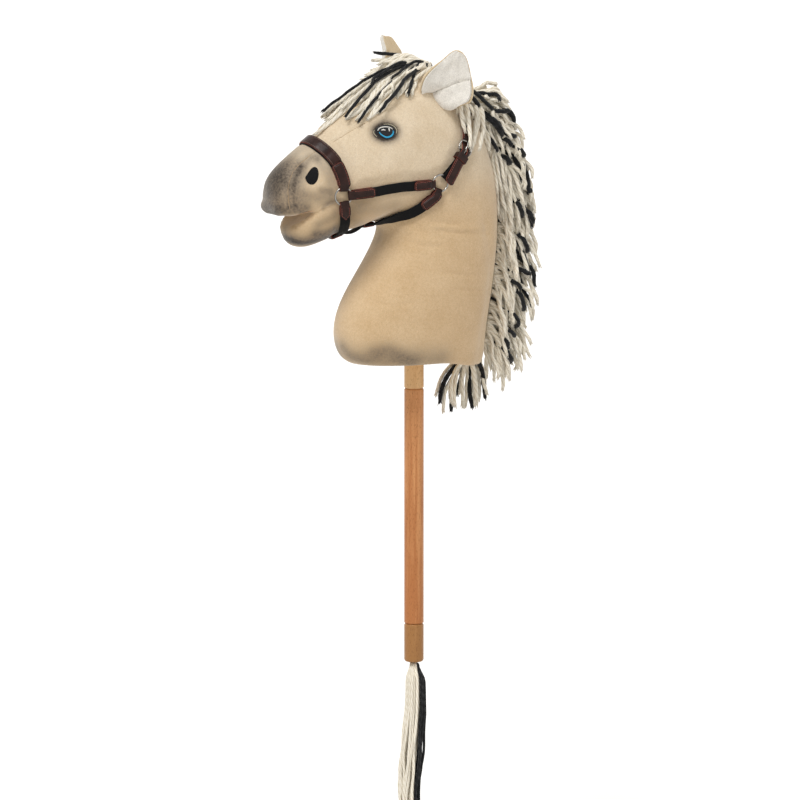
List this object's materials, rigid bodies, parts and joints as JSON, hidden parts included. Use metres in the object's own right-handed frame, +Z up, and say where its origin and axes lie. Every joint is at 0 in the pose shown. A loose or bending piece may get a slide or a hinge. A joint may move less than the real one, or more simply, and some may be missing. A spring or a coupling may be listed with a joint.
{
  "type": "hobby horse",
  "caption": "Stuffed plush horse head with yarn mane and forelock, leather and webbing halter, on a two-piece turned beech stick with a yarn tail.",
  "frame": {"origin": "on the stick's axis at the flat bottom of the neck, where the upper dowel leaves the head", "axes": "+Z up along the stick towards the head, -Y the way the horse looks, +X its left side, which is the buckle side"},
  "size_m": [0.1807, 0.4186, 1.2],
  "materials": {
    "plush": "short pile",
    "base_plush": "short pile",
    "fibre_fill": "loose",
    "mouth_cloth": "matte",
    "ear_fleece": "fleece",
    "eye_embroidery": "satin thread",
    "black_felt": "felt",
    "white_yarn": "twisted yarn",
    "black_yarn": "twisted yarn",
    "woven_tape": "woven",
    "webbing": "woven",
    "leather": "satin",
    "steel": "polished",
    "brass": "machined",
    "pale_beech": "sanded",
    "red_beech": "waxed",
    "cap_beech": "sanded"
  },
  "bodies": {
    "stick": {"main_stick": "red_beech", "threaded_insert": "brass", "end_cap": "cap_beech", "tail_root": "white_yarn"},
    "stud": {"joining_stud": "steel"},
    "head": {"head_cover": "plush", "stuffing": "fibre_fill", "base_panel": "base_plush", "mouth_lining": "mouth_cloth", "ear_left": "plush", "ear_right": "plush", "ear_lining_left": "ear_fleece", "ear_lining_right": "ear_fleece", "eye_left": "eye_embroidery", "eye_right": "eye_embroidery", "nostril_left": "black_felt", "nostril_right": "black_felt", "mane_tape": "woven_tape", "mane_white_left": "white_yarn", "mane_white_right": "white_yarn", "mane_black": "black_yarn", "forelock_white": "white_yarn", "forelock_black": "black_yarn", "noseband_ring_left": "steel", "noseband_ring_right": "steel", "cheek_ring_left": "steel", "cheek_ring_right": "steel", "noseband_webbing": "webbing", "noseband_leather": "leather", "chin_strap": "webbing", "throat_strap": "webbing", "cheek_strap_left": "webbing", "cheek_strap_right": "webbing", "jaw_loop_front": "leather", "jaw_loop_rear": "leather", "jaw_strap": "webbing", "crown_strap": "leather", "crown_tab_right": "leather", "buckle_strap": "webbing", "buckle_frame": "steel", "keeper": "leather", "upper_dowel": "pale_beech", "cheek_front_tab_left": "leather", "cheek_rear_tab_left": "leather", "noseband_tab_left": "leather", "chin_tab_left": "leather", "throat_tab_left": "leather", "cheek_front_tab_right": "leather", "cheek_rear_tab_right": "leather", "noseband_tab_right": "leather", "chin_tab_right": "leather", "throat_tab_right": "leather"},
    "tongue": {"buckle_tongue": "steel"},
    "tail": {"tail_white": "white_yarn", "tail_black": "black_yarn"}
  },
  "joints": [
    {"name": "stud_lift", "type": "slide", "parent": "stick", "child": "stud", "axis": [0, 0, 1], "range_m": [0, 0.01505]},
    {"name": "head_turn", "type": "hinge", "parent": "stud", "child": "head", "pos_m": [0, 0, -0.042], "axis": [0, 0, 1], "range_deg": [0, 4320]},
    {"name": "tail_swing", "type": "hinge", "parent": "stick", "child": "tail", "pos_m": [0, 0, -0.4513], "axis": [1, 0, 0], "range_deg": [-35, 35]},
    {"name": "tongue_lift", "type": "hinge", "parent": "head", "child": "tongue", "pos_m": [0.06324, 0.04608, 0.30161], "axis": [-0.0707, 0.7903, -0.6087], "range_deg": [0, 60]}
  ],
  "couplings": [
    {"joint": "stud_lift", "follows": "head_turn", "m_per_rad": 0.00019894}
  ]
}
